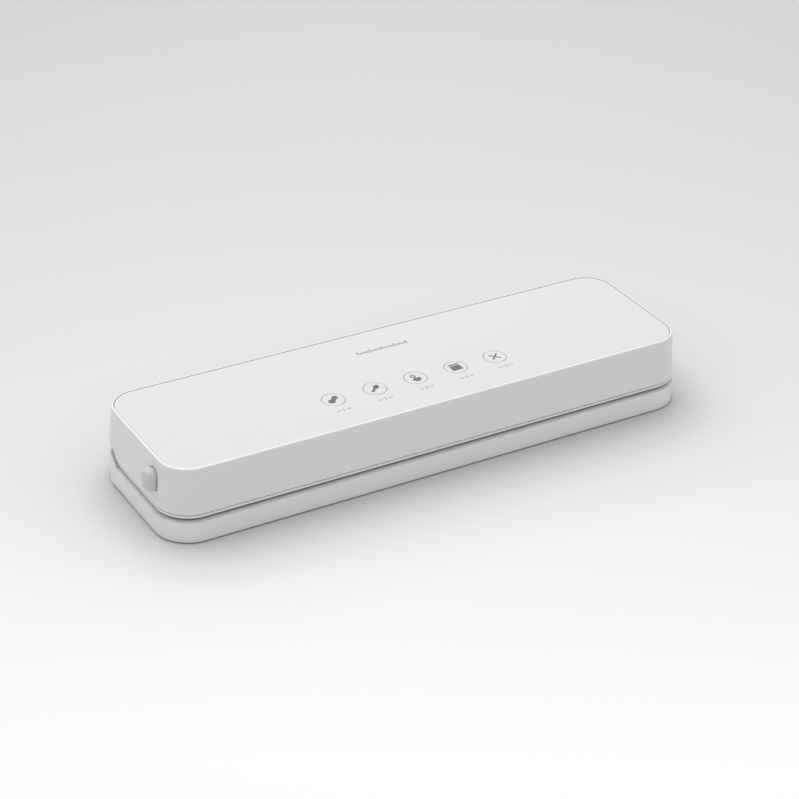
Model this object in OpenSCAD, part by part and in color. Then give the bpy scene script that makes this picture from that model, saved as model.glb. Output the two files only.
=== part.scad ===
// Slim bag sealer: a low base with the vacuum channel, and a thick hinged lid that carries
// the keys, pump, boards and heater bar. X runs along the body, -Y is the front, Z is up, and
// the origin is on the table under the middle of the body.

/* [Body] */
// Length of the body where the lid meets the base
body_len = 374.5; // [373:0.5:378]
// Depth of the body where the lid meets the base
body_depth = 107; // [106:0.5:108]
// Height from the table to the rim round the top
body_h = 50; // [49.5:0.5:52]
// Corner radius of the lid's lower edge, seen from above
corner_r = 22; // [21.5:0.5:22.5]
// How far the lid's wall leans in between its lower edge and the rim
lid_lean = 2.7; // [2:0.1:3]
// How far the base stands out past the lid's lower edge
plinth_out = 0.8; // [0.5:0.1:1]
// Wall thickness of the mouldings
wall_t = 2.2; // [2:0.1:2.4]
// Height of the base's edge above the table
foot_h = 0.8; // [0.7:0.1:1]

/* [Parting line] */
// Height of the base's deck in front
deck_z = 16.3; // [16:0.1:16.5]
// Gap between the deck and the lid's liner
parting_gap = 1; // [0.9:0.1:1.2]
// Height of the liner's edge that shows under the lid's wall
liner_edge = 2; // [1.8:0.1:2.2]
// Distance behind the middle where the base starts to rise
riser_y = 22; // [21.5:0.5:22]
// How far the base rises towards the hinge
rise = 10.2; // [10:0.1:10.4]
// Width of the slanted shoulder round the base's top
shoulder = 3; // [2.4:0.1:3.2]
// How far the shoulder drops
shoulder_drop = 2; // [1.4:0.1:2.4]

/* [Hinge] */
// Radius of the hinge barrel along the back of the base
barrel_r = 4.8; // [4.6:0.1:5]
// Distance of both hinge ears from the middle
ear_x = 120; // [110:1:130]
// Width of a hinge ear
ear_w = 16; // [14:1:20]
// Radius of the hinge pins
pin_r = 1.5; // [1.4:0.1:1.6]

/* [Keys] */
// Distance between neighbouring keys
key_pitch = 29.5; // [28:0.5:31]
// Distance of the keys in front of the middle
key_front = 17.2; // [17:0.1:19]
// Radius of a key
key_r = 7.3; // [7:0.1:7.6]
// Gap round a key
key_gap = 0.35; // [0.3:0.05:0.4]
// How far a key travels when pressed
key_travel = 0.5; // [0.4:0.05:0.5]

/* [Side latches] */
// Distance of the latches in front of the middle
latch_front = 26.5; // [26:0.5:27]
// Half width of a thumb tab, also the radius of its round top
tab_r = 5.2; // [5:0.1:5.4]
// Height of the tab's flat underside above the table
tab_z = 29.5; // [29:0.1:30]
// Height of the tab from its flat underside to the top of its arch
tab_h = 12.8; // [12:0.1:14]
// How far the tab stands out past the lid's lower edge
tab_out = 4.6; // [4:0.1:5]
// How far a latch slides in to lock
latch_travel = 2.5; // [2.4:0.1:2.5]

/* [Vacuum channel] */
// Distance of the channel in front of the middle
channel_front = 19; // [18.8:0.1:19.2]
// Distance between the centres of the channel's round ends
channel_len = 300; // [290:1:300]
// Radius of the channel's ends in the base
channel_r = 12; // [11.5:0.1:12]
// Width of both gaskets
gasket_w = 4.6; // [4:0.1:4.6]

/* [Sealing bar] */
// Distance of the sealing bar in front of the middle
bar_front = 45.3; // [45:0.1:45.5]
// Length of the heater bar
bar_len = 312; // [300:1:312]
// Width of the heater bar
bar_w = 6.6; // [6:0.1:6.6]

/* [Hidden] */
$fn = 96;

white = [0.93, 0.93, 0.92];
cream = [0.87, 0.87, 0.82];
grey = [0.55, 0.56, 0.57];
dark = [0.2, 0.2, 0.21];
steel = [0.75, 0.76, 0.78];
copper = [0.72, 0.45, 0.25];
board_green = [0.12, 0.4, 0.25];

far = 100;                                  // reaches past the body in every direction
fit = 0.15;                                 // gap between pieces that drop into each other
mid_x = body_len/2 - corner_r;              // centres of the corner arcs
mid_y = body_depth/2 - corner_r;

// Base
base_r = corner_r + plinth_out;
tower_r = corner_r - 1;                     // the narrower part of the base under the hinge
tower_y = mid_y;                            // where that part begins
deck_under = deck_z - wall_t;
bed_under = deck_z - 4.5;                   // underside of the thicker deck in front
bed_y = 1;                                  // where the deck gets thinner
cover_z = foot_h + 0.4;
cover_t = 2;
cover_top = cover_z + cover_t;
foot_r = 6;
foot_at = [[172, 38], [172, -38]];
riser_end = riser_y + 11;
slope = rise/(riser_end - riser_y);
hinge_y = body_depth/2 - 5;
hinge_z = deck_z + 5.7;
back_y = hinge_y - 3;                       // where the base drops behind its level top
back_z = hinge_z + 1;                       // top of the base behind that
saddle_y = hinge_y - 7;                     // front of the thick rest under a hinge ear
barrel_half = 160;
pin_len = 30;
channel_floor = 6.5;
tray_wall = 1.2;
tray_gap = 0.4;
tray_top = deck_z - 0.7;
peg_r = 1.5;
peg_h = 13;
peg_x = 70;
channel_wall = 1.8;
gasket_in_r = channel_r + channel_wall;
gasket_floor = deck_z - 2;
gasket_proud = 0.45;
groove_fit = 0.2;                           // gap each side of a gasket in its groove
strip_floor = deck_z - 3;
strip_proud = 0.6;
screw_r = 1.4;
head_r = 2.8;
head_h = 1;
boss_r = 3.4;
pilot_h = 6.6;                              // depth of a screw hole above the cover
base_screw_at = [[176, 8], [100, -bar_front], [150, 38], [60, 38]];

// Lid
liner_z = deck_z + parting_gap;
seam_z = liner_z + liner_edge;
seam_gap = 0.3;
rear_z = liner_z + rise;                    // lower edge of the lid over the hinge
lean = atan(lid_lean/(body_h - seam_z));
function wall_r(z) = corner_r - (z - seam_z)*tan(lean);
rim_round = 1.2;
rim_cz = body_h - rim_round;
rim_cr = wall_r(rim_cz) - rim_round/cos(lean);
rim_in_r = rim_cr - 0.4;
panel_gap = 0.28;
panel_drop = 0.25;
panel_top = body_h - panel_drop;
seat_z = panel_top - 2.15;
plate_t = 1.7;
plate_z = seat_z - plate_t;
liner_r = corner_r - 0.3;
liner_in_r = wall_r(seam_z + 2) - wall_t - 0.2;
liner_back_r = wall_r(rear_z + 3) - wall_t - 0.2;
liner_top = liner_z + 3.7;
plate_r = 15;                               // the lid's plate under the panel
liner_t = 3;                                // thickness of the liner's sloping back
recess_r = 11.4;
recess_top = liner_z + 7;
recess_wall = 1.6;
lid_screw_at = [[176, 8], [60, 10], [160, 38], [60, 38]];
lid_head_seat = 2;
screw_len = 9;

// Keys
key_count = 5;
key_clear = 0.05;
flange_r = key_r + 1.3;
flange_t = 0.5;
flange_z = seat_z + key_travel + key_clear;
flange_room = flange_z + flange_t + key_clear;
stem_r = 2.5;
board_z = plate_z - 5.5;
board_t = 1.6;
board_half = 75;
board_half_y = 11;
post_x = 70;                                // posts that carry the key board
post_y = 8;
post_r = 2;
switch_w = 6;
switch_h = 2.5;
plunger_r = 1.7;
plunger_h = 2.1;
plunger_z = board_z + board_t + key_travel + 0.7;
run_fit = 0.05;                             // radial gap of a running fit

// Latches
tab_face = body_len/2 + tab_out;
tab_round = 2.4;
flange_half = tab_r + 1.7;
tab_cz = tab_z + tab_h - tab_r;
flange_x = wall_r(plate_z) + mid_x - wall_t - 0.35;
foot_x = flange_x - 5.7;
arm_x = flange_x - 3.9;
arm_t = 2.5;
arm_half = 3.5;
foot_half = 4.8;
nose_len = 2;
nose_h = 2.5;
arm_bottom = bed_under - nose_h - 0.3;
lip_x = flange_x - 6.7;
slot_out_x = flange_x - 0.6;

// Pump
pump_y = 11;
pump_z = 33;
motor_x = 122;
motor_len = 31;
motor_r = 11;
motor_wall = 1.5;
bearing_r = 3.5;
bearing_len = 2;
shaft_r = 1;
throw_r = 3.5;                              // the eccentric on the shaft
head_w = 26;
head_in_r = 6.5;
port_x = 109;
hose_r = 3;
hose_in_r = 1.7;
hose_z = 34;
hose_bend = 6;

// Inlet
inlet_x = -120;
inlet_z = 37.5;
inlet_half = 4.3;
inlet_face = mid_y + wall_r(inlet_z);
inlet_back = inlet_face - 15.3;
inlet_body = 12.2;
inlet_half_x = 10;
inlet_half_z = 6;
inlet_floor = inlet_back + 5;
socket_r = 5.3;
socket_in_r = 4.1;
inlet_pin_r = 1.2;
inlet_pin_len = 11;
inlet_pin_y = inlet_back + 2;

// Boards
power_z = 25;
power_top = power_z + board_t;
power_x = [-168, -70];
power_y = [-4, 26];
power_post_x = [-163, -75];
power_post_y = [0, 20];
coil_x = -138;
coil_y = 11;
coil_half_x = 10;
coil_half_y = 11;
coil_r = 8.5;
coil_h = 10;
yoke_t = 3;
yoke_leg = 2;

// Leads
lead_r = 0.8;
lead_y = 24;                                // where the leads from the back meet the board
motor_lead_y = 7;
bar_lead_z = [30, 33];

// ---- Shared shapes ----

// Rounded rectangle round the common corner centres
module plan(r) {
    square([2*(mid_x + r), 2*mid_y], center = true);
    square([2*mid_x, 2*(mid_y + r)], center = true);
    for (sx = [-1, 1], sy = [-1, 1])
        translate([sx*mid_x, sy*mid_y]) circle(r);
}

module slab(r, z0, z1) {
    translate([0, 0, z0]) linear_extrude(z1 - z0) plan(r);
}

// Carries a profile (distance from the corner centre, height) round the body
module ring_sweep() {
    for (m = [0, 1]) {
        mirror([m, 0, 0]) translate([mid_x, 0, 0])
            rotate([90, 0, 0]) linear_extrude(2*mid_y, center = true) children();
        mirror([0, m, 0]) translate([0, mid_y, 0])
            rotate([90, 0, 90]) linear_extrude(2*mid_x, center = true) children();
    }
    for (q = [0:3])
        translate([(q == 0 || q == 3 ? 1 : -1)*mid_x, (q < 2 ? 1 : -1)*mid_y, 0])
            rotate([0, 0, 90*q]) rotate_extrude(angle = 90) children();
}

// Extrudes a side outline (y, z) along X
module along_x(length) {
    rotate([90, 0, 90]) linear_extrude(length, center = true) children();
}

module rod_x(r, x0, x1, y, z) {
    translate([x0, y, z]) rotate([0, 90, 0]) cylinder(r = r, h = x1 - x0);
}

module box(x0, x1, y0, y1, z0, z1) {
    translate([x0, y0, z0]) cube([x1 - x0, y1 - y0, z1 - z0]);
}

module both_ends() {
    for (m = [0, 1]) mirror([m, 0, 0]) children();
}

// Slot outline with round ends
module obround(half, r) {
    square([2*half, 2*r], center = true);
    for (sx = [-1, 1]) translate([sx*half, 0]) circle(r);
}

module channel_slab(r, z0, z1) {
    translate([0, -channel_front, z0]) linear_extrude(z1 - z0) obround(channel_len/2, r);
}

module channel_ring(r0, r1, z0, z1) {
    translate([0, -channel_front, z0]) linear_extrude(z1 - z0) difference() {
        obround(channel_len/2, r1);
        obround(channel_len/2, r0);
    }
}

module bar_slab(length, width, z0, z1) {
    box(-length/2, length/2, -bar_front - width/2, -bar_front + width/2, z0, z1);
}

module screw(head_z, length) {
    translate([0, 0, head_z]) cylinder(r = head_r, h = head_h);
    translate([0, 0, head_z + head_h]) cylinder(r = screw_r, h = length);
}

// An insulated lead of straight runs, eight-sided
module lead(points) {
    for (i = [1:len(points) - 1]) {
        run = points[i] - points[i - 1];
        unit = run/norm(run);
        translate(points[i - 1] - (i > 1 ? lead_r : 0)*unit)
            rotate([0, acos(unit[2]), atan2(unit[1], unit[0])])
                cylinder(r = lead_r, h = norm(run) + (i > 1 ? lead_r : 0), $fn = 8);
    }
}

// ---- Base ----

module shouldered_block(z0) {
    inner = corner_r/2;
    ring_sweep() polygon([[inner, z0], [base_r, z0], [base_r, deck_z - shoulder_drop],
        [base_r - shoulder, deck_z], [inner, deck_z]]);
    slab(inner + 1, z0, deck_z);
}

module depth_slice(y0, y1) {
    intersection() {
        children();
        box(-2.5*far, 2.5*far, y0, y1, -far, far);
    }
}

// Side outline of the base's inside, or with no wall thickness, of its outside behind the riser
module base_side(wall) {
    polygon([[-far, -1], [-far, bed_under], [bed_y, bed_under], [bed_y, deck_z - wall],
        [riser_y, deck_z - wall], [riser_end, deck_z + rise - wall],
        [back_y - wall, deck_z + rise - wall], [back_y - wall, back_z - wall],
        [far, back_z - wall], [far, -1]]);
}

// The plinth, level in front and slanted up at its end, and the narrower part behind it
module base_outer() {
    depth_slice(-far, riser_y) shouldered_block(foot_h);
    depth_slice(riser_y, tower_y) intersection() {
        multmatrix([[1, 0, 0, 0], [0, 1, 0, 0], [0, slope, 1, -slope*riser_y], [0, 0, 0, 1]])
            shouldered_block(foot_h - 2*rise);
        box(-2.5*far, 2.5*far, riser_y, tower_y, foot_h, far);
    }
    depth_slice(tower_y - 1, far) intersection() {
        slab(tower_r, foot_h, far);
        along_x(5*far) base_side(0);
    }
}

module base_cavity() {
    intersection() {
        union() {
            depth_slice(-far, tower_y - wall_t) slab(base_r - wall_t, 0, far);
            slab(tower_r - wall_t, 0, far);
        }
        along_x(5*far) base_side(wall_t);
    }
}

// Height of the deck's underside at a given depth
function under_deck(y) = y < bed_y ? bed_under
    : deck_under + min(rise, max(0, y - riser_y)*slope);

module base_shell() {
    color(white) difference() {
        union() {
            difference() {
                base_outer();
                base_cavity();
            }
            rod_x(barrel_r, -barrel_half, barrel_half, hinge_y, hinge_z);
            channel_slab(channel_r + channel_wall, channel_floor - channel_wall, bed_under + 1);
            both_ends() {
                for (at = base_screw_at)
                    translate([at[0], at[1], cover_top])
                        cylinder(r = boss_r, h = under_deck(at[1]) + 0.4 - cover_top);
                box(ear_x - 20, ear_x + 20, saddle_y, hinge_y + 3, hinge_z - 10, hinge_z);
            }
        }
        channel_slab(channel_r, channel_floor, far);
        channel_ring(gasket_in_r - groove_fit, gasket_in_r + gasket_w + groove_fit,
            gasket_floor, far);
        bar_slab(bar_len, bar_w, strip_floor, far);
        both_ends() {
            for (at = base_screw_at)
                translate([at[0], at[1], 0]) cylinder(r = screw_r, h = cover_top + pilot_h);
            box(lip_x, slot_out_x, -latch_front - 5, -latch_front + 4.2, 0, far);
            box(ear_x - ear_w/2 - 0.4, ear_x + ear_w/2 + 0.4, hinge_y - barrel_r - 0.7, far,
                hinge_z - barrel_r - 0.4, far);
            rod_x(pin_r, ear_x - pin_len/2, ear_x + pin_len/2, hinge_y, hinge_z);
        }
    }
}

module base_cover() {
    color(white) difference() {
        union() {
            depth_slice(-far, tower_y - wall_t - fit)
                slab(base_r - wall_t - fit, cover_z, cover_top);
            slab(tower_r - wall_t - fit, cover_z, cover_top);
        }
        both_ends() {
            for (at = base_screw_at) translate([at[0], at[1], 0]) {
                cylinder(r = head_r + fit, h = cover_z + head_h);
                cylinder(r = screw_r + fit, h = far);
            }
            for (at = foot_at)
                translate([at[0], at[1], 0]) cylinder(r = foot_r, h = cover_z + 0.8);
        }
    }
}

module feet() {
    color(grey) both_ends() for (at = foot_at)
        translate([at[0], at[1], 0]) cylinder(r = foot_r, h = cover_z + 0.8);
}

module base_screws() {
    color(steel) both_ends() for (at = base_screw_at)
        translate([at[0], at[1], 0]) screw(cover_z, cover_top + pilot_h - cover_z - head_h);
}

module hinge_pins() {
    color(steel) both_ends()
        rod_x(pin_r, ear_x - pin_len/2, ear_x + pin_len/2, hinge_y, hinge_z);
}

// Lift-out tray with two pegs that stop the bag's mouth
module drip_tray() {
    color(white) {
        difference() {
            channel_slab(channel_r - tray_gap, channel_floor, tray_top);
            channel_slab(channel_r - tray_gap - tray_wall, channel_floor + tray_wall, far);
        }
        both_ends()
            translate([peg_x, -channel_front + channel_r - tray_gap - 2*peg_r - 0.5, channel_floor])
                cylinder(r = peg_r, h = peg_h);
    }
}

module gasket_lower() {
    color(grey) channel_ring(gasket_in_r, gasket_in_r + gasket_w, gasket_floor,
        deck_z + gasket_proud);
}

module press_strip() {
    color(dark) bar_slab(bar_len, bar_w, strip_floor, deck_z + strip_proud);
}

// ---- Lid ----

// Everything under the lid's lower edge, with its front part at front_z
module lid_cutter(front_z) {
    along_x(5*far) polygon([[-far, -1], [-far, front_z],
        [riser_y + (front_z - liner_z)/slope, front_z], [riser_end, rear_z], [far, rear_z],
        [far, -1]]);
}

module lid_wall() {
    low = seam_z - 1.5;
    intersection() {
        translate([rim_cr, rim_cz]) circle(rim_round);
        translate([rim_in_r, 0]) square(far);
    }
    polygon([[wall_r(low), low],
        [rim_cr + rim_round*cos(lean), rim_cz + rim_round*sin(lean)],
        [rim_cr, rim_cz], [rim_cr, body_h], [rim_in_r, body_h], [rim_in_r, seat_z],
        [plate_r - 1, seat_z], [plate_r - 1, plate_z], [wall_r(plate_z) - wall_t, plate_z],
        [wall_r(low) - wall_t, low]]);
}

module tab_outline(r) {
    translate([0, tab_cz]) circle(r);
    translate([-r, tab_z - (r - tab_r)]) square([2*r, tab_cz - tab_z + r - tab_r]);
}

function key_x(i) = (i - (key_count - 1)/2)*key_pitch;

module at_keys() {
    for (i = [0:key_count - 1]) translate([key_x(i), -key_front, 0]) children();
}

// Height of the liner's upper side at a given depth
function over_liner(y) = y < riser_y ? liner_top
    : liner_z + liner_t + min(rise, (y - riser_y)*slope);

module lid_shell() {
    color(white) difference() {
        union() {
            ring_sweep() lid_wall();
            slab(plate_r, plate_z, seat_z);
            both_ends() for (at = lid_screw_at) {
                low = over_liner(at[1] + boss_r) + 0.1;
                translate([at[0], at[1], low]) cylinder(r = boss_r, h = plate_z + 0.5 - low);
            }
            for (sx = [-1, 1], sy = [-1, 1])
                translate([sx*post_x, -key_front + sy*post_y, board_z + board_t])
                    cylinder(r = post_r, h = plate_z + 0.5 - board_z - board_t);
        }
        lid_cutter(seam_z);
        at_keys() cylinder(r = stem_r + 0.7, h = far);
        both_ends() {
            for (at = lid_screw_at)
                translate([at[0], at[1], 0])
                    cylinder(r = screw_r, h = over_liner(at[1]) + screw_len);
            translate([body_len/2 - 10, -latch_front, 0]) rotate([90, 0, 90])
                linear_extrude(far) tab_outline(tab_r + 0.4);
        }
        translate([inlet_x, inlet_face - 8, inlet_z]) rotate([-90, 0, 0])
            linear_extrude(far) obround(inlet_half, socket_r + 0.2);
    }
}

module top_panel() {
    color(white) difference() {
        slab(rim_in_r - panel_gap, seat_z, panel_top);
        at_keys() {
            cylinder(r = key_r + key_gap, h = far);
            cylinder(r = flange_r + 0.3, h = flange_room);
        }
    }
}

module liner_side() {
    polygon([[-far, 0], [-far, liner_top], [riser_y, liner_top], [riser_end, rear_z + liner_t],
        [far, rear_z + liner_t], [far, 0]]);
}

module hinge_ear() {
    rod_x(barrel_r, ear_x - ear_w/2, ear_x + ear_w/2, hinge_y, hinge_z);
    box(ear_x - ear_w/2, ear_x + ear_w/2, hinge_y - 3.2, hinge_y + 1.5, hinge_z, rear_z + 1);
}

module lid_liner() {
    color(cream) difference() {
        union() {
            difference() {
                union() {
                    slab(liner_r, liner_z, seam_z - seam_gap);
                    slab(liner_in_r, liner_z, liner_top);
                    intersection() {
                        slab(liner_back_r, liner_z, far);
                        along_x(5*far) liner_side();
                    }
                }
                lid_cutter(liner_z);
            }
            channel_slab(recess_r + recess_wall, liner_top - 1, recess_top + recess_wall);
            translate([port_x, -channel_front, recess_top])
                cylinder(r = hose_in_r, h = hose_z - hose_bend + 2 - recess_top - 3);
            both_ends() {
                hinge_ear();
                for (side = [-1, 1])
                    box(foot_x - 2, flange_x, -latch_front + side*5.8 - 0.8,
                        -latch_front + side*5.8 + 0.8, liner_top - 0.5, liner_top + 4);
            }
            for (x = power_post_x, y = power_post_y)
                translate([x, y, liner_top - 1]) cylinder(r = 2.5, h = power_z - liner_top + 1);
        }
        channel_slab(recess_r, 0, recess_top);
        channel_ring(gasket_in_r - groove_fit, gasket_in_r + gasket_w + groove_fit,
            0, liner_z + 2);
        bar_slab(bar_len + 8, bar_w + 0.4, 0, liner_z + 3);
        both_ends() {
            rod_x(pin_r + run_fit, ear_x - ear_w, ear_x + ear_w, hinge_y, hinge_z);
            box(lip_x, slot_out_x, -latch_front - 4, -latch_front + 4, 0, far);
            translate([bar_len/2 + 2.3, -bar_front, 0]) cylinder(r = 1.2, h = far);
            for (at = lid_screw_at) translate([at[0], at[1], 0]) {
                cylinder(r = head_r + fit, h = over_liner(at[1]) - lid_head_seat + head_h);
                cylinder(r = screw_r + fit, h = far);
            }
        }
        translate([port_x, -channel_front, 0]) cylinder(r = 1, h = far);
    }
}

module lid_screws() {
    color(steel) both_ends() for (at = lid_screw_at)
        translate([at[0], at[1], 0])
            screw(over_liner(at[1]) - lid_head_seat, lid_head_seat - head_h + screw_len);
}

module gasket_upper() {
    color(grey) channel_ring(gasket_in_r, gasket_in_r + gasket_w, liner_z - 0.25, liner_z + 2);
}

// Carrier of the heating strip
module heater_bar() {
    color(cream) bar_slab(bar_len, bar_w, liner_z + 0.3, liner_z + 3);
}

module heating_strip() {
    color(steel) bar_slab(bar_len - 2, 2.4, liner_z + 0.1, liner_z + 0.3);
}

module sealing_tape() {
    color([0.62, 0.5, 0.36]) bar_slab(bar_len, bar_w, liner_z - 0.1, liner_z + 0.1);
}

// ---- Pump ----

module pump_motor() {
    color(steel) difference() {
        union() {
            rod_x(motor_r, motor_x, motor_x + motor_len, pump_y, pump_z);
            rod_x(bearing_r, motor_x + motor_len, motor_x + motor_len + bearing_len,
                pump_y, pump_z);
        }
        rod_x(motor_r - motor_wall, motor_x + motor_wall, motor_x + motor_len - motor_wall,
            pump_y, pump_z);
        rod_x(shaft_r + run_fit, motor_x - 1, motor_x + motor_len + 1, pump_y, pump_z);
    }
}

// Armature, shaft and the eccentric that works the pump's diaphragm
module pump_rotor() {
    color(copper) {
        rod_x(shaft_r, port_x - 2, motor_x + motor_len + 0.8, pump_y, pump_z);
        rod_x(motor_r - 3, motor_x + 5, motor_x + motor_len - 5, pump_y, pump_z);
        rod_x(throw_r, port_x, port_x + 5, pump_y, pump_z - 1.2);
    }
}

module pump_head() {
    color(dark) difference() {
        union() {
            box(motor_x - head_w, motor_x, pump_y - motor_r, pump_y + motor_r,
                pump_z - motor_r, pump_z + motor_r);
            translate([port_x, pump_y - motor_r, hose_z]) rotate([90, 0, 0])
                cylinder(r = hose_in_r, h = 5);
        }
        rod_x(head_in_r, port_x - 3, port_x + 8, pump_y, pump_z);
        rod_x(shaft_r + run_fit, port_x, motor_x + 1, pump_y, pump_z);
        translate([port_x, pump_y - motor_r + 3, hose_z]) rotate([90, 0, 0])
            cylinder(r = 1, h = far);
    }
}

// Hollow hose: up from the channel's port, round a bend and back to the pump
module vacuum_hose() {
    start_z = recess_top + recess_wall + 0.1;
    end_y = pump_y - motor_r - 0.5;
    color(grey) difference() {
        hose_run(hose_r, start_z, end_y);
        hose_run(hose_in_r, start_z - 1, end_y + 1);
    }
}

module hose_run(r, start_z, end_y) {
    bend_z = hose_z - hose_bend;
    bend_y = -channel_front + hose_bend;
    translate([port_x, -channel_front, start_z]) cylinder(r = r, h = bend_z - start_z);
    translate([port_x, bend_y, bend_z]) rotate([90, 0, -90]) rotate_extrude(angle = 90)
        translate([hose_bend, 0]) circle(r);
    translate([port_x, bend_y, hose_z]) rotate([-90, 0, 0]) cylinder(r = r, h = end_y - bend_y);
}

// Solenoid valve that lets air back into the channel
module vent_valve() {
    seat = recess_top + recess_wall;
    color(dark) translate([86, -channel_front, seat]) {
        cylinder(r = 5, h = 15);
        translate([-7, -6, 3]) cube([14, 12, 10]);
    }
}

// ---- Boards ----

module power_board() {
    color(board_green) difference() {
        box(power_x[0], power_x[1], power_y[0], power_y[1], power_z, power_top);
        for (x = power_post_x, y = power_post_y)
            translate([x, y, 0]) cylinder(r = 1.2, h = far);
    }
}

// Capacitors, relay and converter chip
module board_parts() {
    color(dark) translate([0, 0, power_top]) {
        translate([-98, 4, 0]) cylinder(r = 6, h = 17);
        translate([-84, 5, 0]) cylinder(r = 4, h = 12);
        translate([-84, 16, 0]) cylinder(r = 4, h = 12);
        translate([-112, 13, 0]) cube([20, 9, 14]);
        translate([-122, 0, 0]) cube([14, 6, 6]);
    }
}

module transformer() {
    color(copper) translate([coil_x, coil_y, power_top]) {
        for (z = [0, yoke_t + coil_h])
            translate([-coil_half_x, -coil_half_y, z])
                cube([2*coil_half_x, 2*coil_half_y, yoke_t]);
        translate([0, 0, yoke_t]) cylinder(r = coil_r, h = coil_h);
        for (y = [-coil_half_y, coil_half_y - yoke_leg])
            translate([-4, y, yoke_t]) cube([8, yoke_leg, coil_h]);
    }
}

module key_board() {
    color(board_green) box(-board_half, board_half, -key_front - board_half_y,
        -key_front + board_half_y, board_z, board_z + board_t);
}

module key_switches() {
    color(dark) at_keys() translate([0, 0, board_z + board_t]) difference() {
        translate([-switch_w/2, -switch_w/2, 0]) cube([switch_w, switch_w, switch_h]);
        translate([0, 0, 0.5]) cylinder(r = plunger_r + run_fit, h = far);
    }
}

// Carries a shape along +Y from a given depth, with its outline round the inlet's middle
module from_inlet(y) {
    translate([inlet_x, y, inlet_z]) rotate([-90, 0, 0]) children();
}

// Mains inlet for a two-pin plug, with its mouth in the lid's back wall
module inlet_socket() {
    color(dark) difference() {
        union() {
            box(inlet_x - inlet_half_x, inlet_x + inlet_half_x, inlet_back,
                inlet_back + inlet_body, inlet_z - inlet_half_z, inlet_z + inlet_half_z);
            from_inlet(inlet_back + inlet_body - 0.2)
                linear_extrude(inlet_face - inlet_back - inlet_body + 0.15)
                    obround(inlet_half, socket_r);
        }
        from_inlet(inlet_floor) linear_extrude(far) obround(inlet_half - 0.5, socket_in_r);
        for (side = [-1, 1])
            translate([side*inlet_half, 0, 0]) from_inlet(inlet_pin_y)
                cylinder(r = inlet_pin_r, h = inlet_floor - inlet_pin_y + 1);
    }
}

module inlet_pins() {
    color(steel) for (side = [-1, 1])
        translate([side*inlet_half, 0, 0]) from_inlet(inlet_pin_y)
            cylinder(r = inlet_pin_r, h = inlet_pin_len);
}

module wiring() {
    end_x = bar_len/2 + 2.3;
    motor_end = motor_x + motor_len;
    near_x = power_x[1] - 6;
    color(dark) {
        for (side = [-1, 1]) {
            x = inlet_x + side*inlet_half;
            lead([[x, inlet_back, inlet_z - 3], [x, lead_y, inlet_z - 3], [x, lead_y, power_top]]);
            lead([[motor_end, pump_y + side*motor_lead_y, pump_z],
                [motor_end + 4 - side*1.5, pump_y + side*motor_lead_y, pump_z],
                [motor_end + 4 - side*1.5, lead_y - side, pump_z + 5],
                [near_x + side*2, lead_y - side, pump_z + 5],
                [near_x + side*2, lead_y - side, power_top]]);
        }
        lead([[-end_x, -bar_front, liner_z + 1], [-end_x, -bar_front, bar_lead_z[0]],
            [-end_x, 3, bar_lead_z[0]], [-end_x, 3, power_top]]);
        lead([[end_x, -bar_front, liner_z + 1], [end_x, -bar_front, bar_lead_z[1]],
            [-end_x + 6, -bar_front, bar_lead_z[1]], [-end_x + 6, -1, bar_lead_z[1]],
            [-end_x + 6, -1, power_top]]);
    }
}

// ---- Latches ----

// Thumb tab with a round top and a rounded outer edge, its axis along X
module tab() {
    depth = tab_face - flange_x + 1;
    translate([flange_x - 1, -latch_front, tab_cz]) rotate([0, 90, 0]) {
        rotate([0, 0, 90]) rotate_extrude(angle = 180) tab_profile(depth);
        rotate([0, -90, 0]) mirror([0, 0, 1])
            linear_extrude(tab_cz - tab_z) {
                tab_profile(depth, true);
                mirror([0, 1]) tab_profile(depth, true);
            }
    }
}

module tab_profile(depth, turned = false) {
    rotate(turned ? 90 : 0) mirror([0, turned ? 1 : 0]) {
        square([tab_r - tab_round, depth]);
        square([tab_r, depth - tab_round]);
        translate([tab_r - tab_round, depth - tab_round]) circle(tab_round);
    }
}

module latch() {
    color(white) {
        tab();
        box(flange_x - 2, flange_x, -latch_front - flange_half, -latch_front + flange_half,
            tab_z - 2, tab_z + tab_h + 1.5);
        box(foot_x, flange_x, -latch_front - foot_half, -latch_front + foot_half,
            liner_top + 0.1, tab_z);
        box(arm_x, arm_x + arm_t, -latch_front - arm_half, -latch_front + arm_half,
            arm_bottom, liner_top + 1);
        box(arm_x - nose_len, arm_x + 1, -latch_front - arm_half, -latch_front + arm_half,
            arm_bottom, arm_bottom + nose_h);
    }
}

module latch_right() { latch(); }

module latch_left() { mirror([1, 0, 0]) latch(); }

// ---- Keys ----

module key(i) {
    color(white) translate([key_x(i), -key_front, 0]) {
        translate([0, 0, flange_z]) cylinder(r = flange_r, h = flange_t);
        translate([0, 0, flange_z]) cylinder(r = key_r, h = panel_top - flange_z);
        translate([0, 0, plunger_z + plunger_h])
            cylinder(r = stem_r, h = flange_z - plunger_z - plunger_h + 0.2);
    }
}

module plunger(i) {
    color(grey) translate([key_x(i), -key_front, plunger_z]) cylinder(r = plunger_r, h = plunger_h);
}

base_shell();
base_cover();
drip_tray();
gasket_lower();
press_strip();
feet();
base_screws();
hinge_pins();
lid_shell();
top_panel();
lid_liner();
gasket_upper();
heater_bar();
heating_strip();
sealing_tape();
pump_motor();
pump_rotor();
pump_head();
vacuum_hose();
vent_valve();
power_board();
board_parts();
transformer();
key_board();
key_switches();
inlet_socket();
inlet_pins();
wiring();
lid_screws();
latch_left();
latch_right();
key(0);  // key_dry
key(1);  // key_moist
key(2);  // key_pulse
key(3);  // key_seal
key(4);  // key_stop
plunger(0);  // plunger_dry
plunger(1);  // plunger_moist
plunger(2);  // plunger_pulse
plunger(3);  // plunger_seal
plunger(4);  // plunger_stop
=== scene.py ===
from math import atan2, cos, exp, pi, radians, sin

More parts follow.
